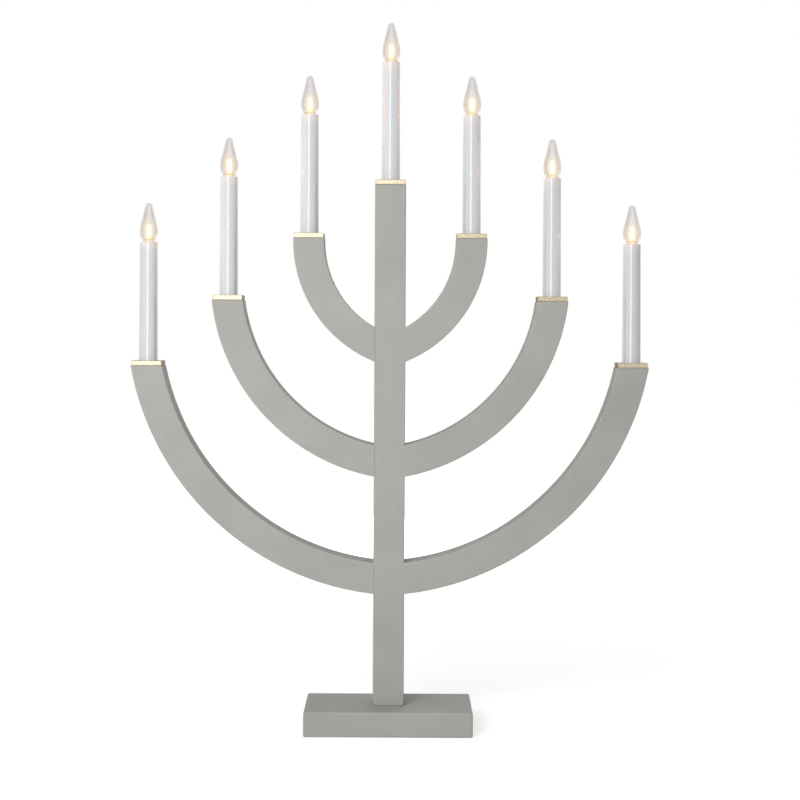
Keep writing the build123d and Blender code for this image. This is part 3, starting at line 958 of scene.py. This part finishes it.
# %% Rod
rod_radius, rod_depth, rod_height = 2.3, 3.0, 17.5
side_rows, dome_rows, rod_hair = 16, 10, 0.15


def rod_profile():
    """From the middle of the foot out, straight up, and over a round top."""
    foot, dome_height = neck - rod_depth, neck + rod_height - rod_radius
    heights = np.linspace(foot + rod_hair, dome_height, side_rows)
    side = np.column_stack([np.full(side_rows, rod_radius), heights])
    dome = arc(0, dome_height, rod_radius, 0, 90, dome_rows)[1:]
    dome[-1, 0] = 0.0
    return np.concatenate([[(0, foot), (rod_radius - rod_hair, foot), (rod_radius, foot)], side, dome])


for candle in candles:
    node = candle + "_bulb_light_guide"
    sheet = turned_sheet(rod_profile(), candle, False, neck)
    rod = make_piece(node + "_lit", [sheet], bulb_glow, candle + "_bulb", "bulb_glow", node)
report(rod, node)

# %% [markdown]
# ### Threaded cap
# The cap is rolled from thin brass, so its thread is a soft wave, not a sharp cut. A bump in the finish would
# not change the outline, so the wave is in the surface. Its crest climbs by one pitch for each turn, the same
# pitch by which the bulb rises, and it fades out at both ends. It shows when the bulb is unscrewed.

# %% Cap
cap_length, cap_radius, cap_bore, cap_chamfer = 9.0, 4.8, 4.3, 0.1
thread_depth, thread_rows = 0.42, 90
foot_fade, neck_fade = 0.8, 1.2
rise_per_radian = frame["record"]["behaviour"]["couplings"][0]["ratio"]
thread_pitch = 2 * math.pi * rise_per_radian / MM


def cap_sheet(candle):
    """A cap with a plain bore and a wave outside, which is faded at both ends.

    At the height h and the angle t the outside radius is r - depth (1 - cos(2 pi h / pitch - t)) / 2, so a
    crest climbs by one pitch for each turn.
    """
    foot, top = neck - cap_length, neck
    heights = np.linspace(foot + cap_chamfer, top - cap_chamfer, thread_rows)
    fade = np.clip((heights - foot) / foot_fade, 0, 1) * np.clip((top - heights) / neck_fade, 0, 1)
    wave = (1 - np.cos(2 * math.pi * heights[:, None] / thread_pitch - turns)) / 2
    outside = np.column_stack([np.full(thread_rows, cap_radius), heights])
    inside = [(cap_bore, top), (cap_bore, top - hair), (cap_bore, foot + hair), (cap_bore, foot)]
    rim, end = [(cap_radius - cap_chamfer, top)], [(cap_radius - cap_chamfer, foot)]
    profile = np.concatenate([outside, rim, inside, end])
    swell = np.zeros((len(profile), turn_steps))
    swell[:thread_rows] = -thread_depth * wave * fade[:, None]
    return turned_sheet(profile, candle, True, neck, swell)


for candle in candles:
    node = candle + "_bulb_cap"
    sheet = cap_sheet(candle)
    cap = make_piece(node + "_threaded", [sheet], finish_of["cap_brass"], candle + "_bulb", "cap_brass", node)
report(cap, node)
print("thread pitch: %.3f mm" % thread_pitch)

# %% [markdown]
# ## Light of the bulbs
# Each bulb also lights the candles beside it: their sides look warm, with a small bright spot level with the
# bulb. Light that leaves the rod through two curved walls of glass is slow to trace and grainy. So a tiny
# warm lamp stands in each bulb. It is linked to the tubes of the other candles, and only these can stand in
# its way.

# %% Bulb lamps
bulb_power = 0.10
bulb_colour = (1.0, 0.66, 0.45)
bulb_light_radius, bulb_light_height = 5.0, 10.0


def bulb_lamp(candle):
    """A small warm ball of light in the middle of a candle's bulb, for the tubes of the other candles."""
    name = candle + "_bulb_light"
    others = bpy.data.collections.new(name + "_reach")
    for other in candles:
        if other != candle:
            others.objects.link(bpy.data.objects[other + "_candle_tube_glossy"])
    data = bpy.data.lights.new(name, "POINT")
    data.energy = bulb_power
    data.color = bulb_colour
    data.shadow_soft_size = bulb_light_radius * MM
    x, z = candles[candle]
    lamp = bpy.data.objects.new(name, data)
    lamp.location = np.array([x, 0, z + neck + bulb_light_height]) * MM
    lamp.visible_camera = False
    lamp.visible_transmission = False
    lamp.light_linking.receiver_collection = others
    lamp.light_linking.blocker_collection = others
    bpy.context.scene.collection.objects.link(lamp)


for candle in candles:
    bulb_lamp(candle)
print("bulb lamps: %d of %.2f W" % (len(candles), bulb_power))

# %% [markdown]
# ## Finishes for the solids that stay
# The base, stem, plates and small parts keep their solids, which have the right shape already, with their
# holes and recesses. They could be made again as sheets, but nothing would be gained. They only change their
# finish: base and stem by name, the others by the slot that each solid has in the record.

# %% Finishes by slot
paint_of = {"base_block": base_paint, "stem": stem_paint}
finish_of["plate_brass"] = plate_brass
slot_of = {part["node"]: part["material_slot"] for part in frame["record"]["subparts"]}
kept = {node: solid for node, solid in frame["nodes"].items() if not solid.hide_render}
for node, solid in kept.items():
    solid.data.materials.clear()
    solid.data.materials.append(paint_of.get(node) or finish_of[slot_of[node]])
print("solids kept:", len(kept))
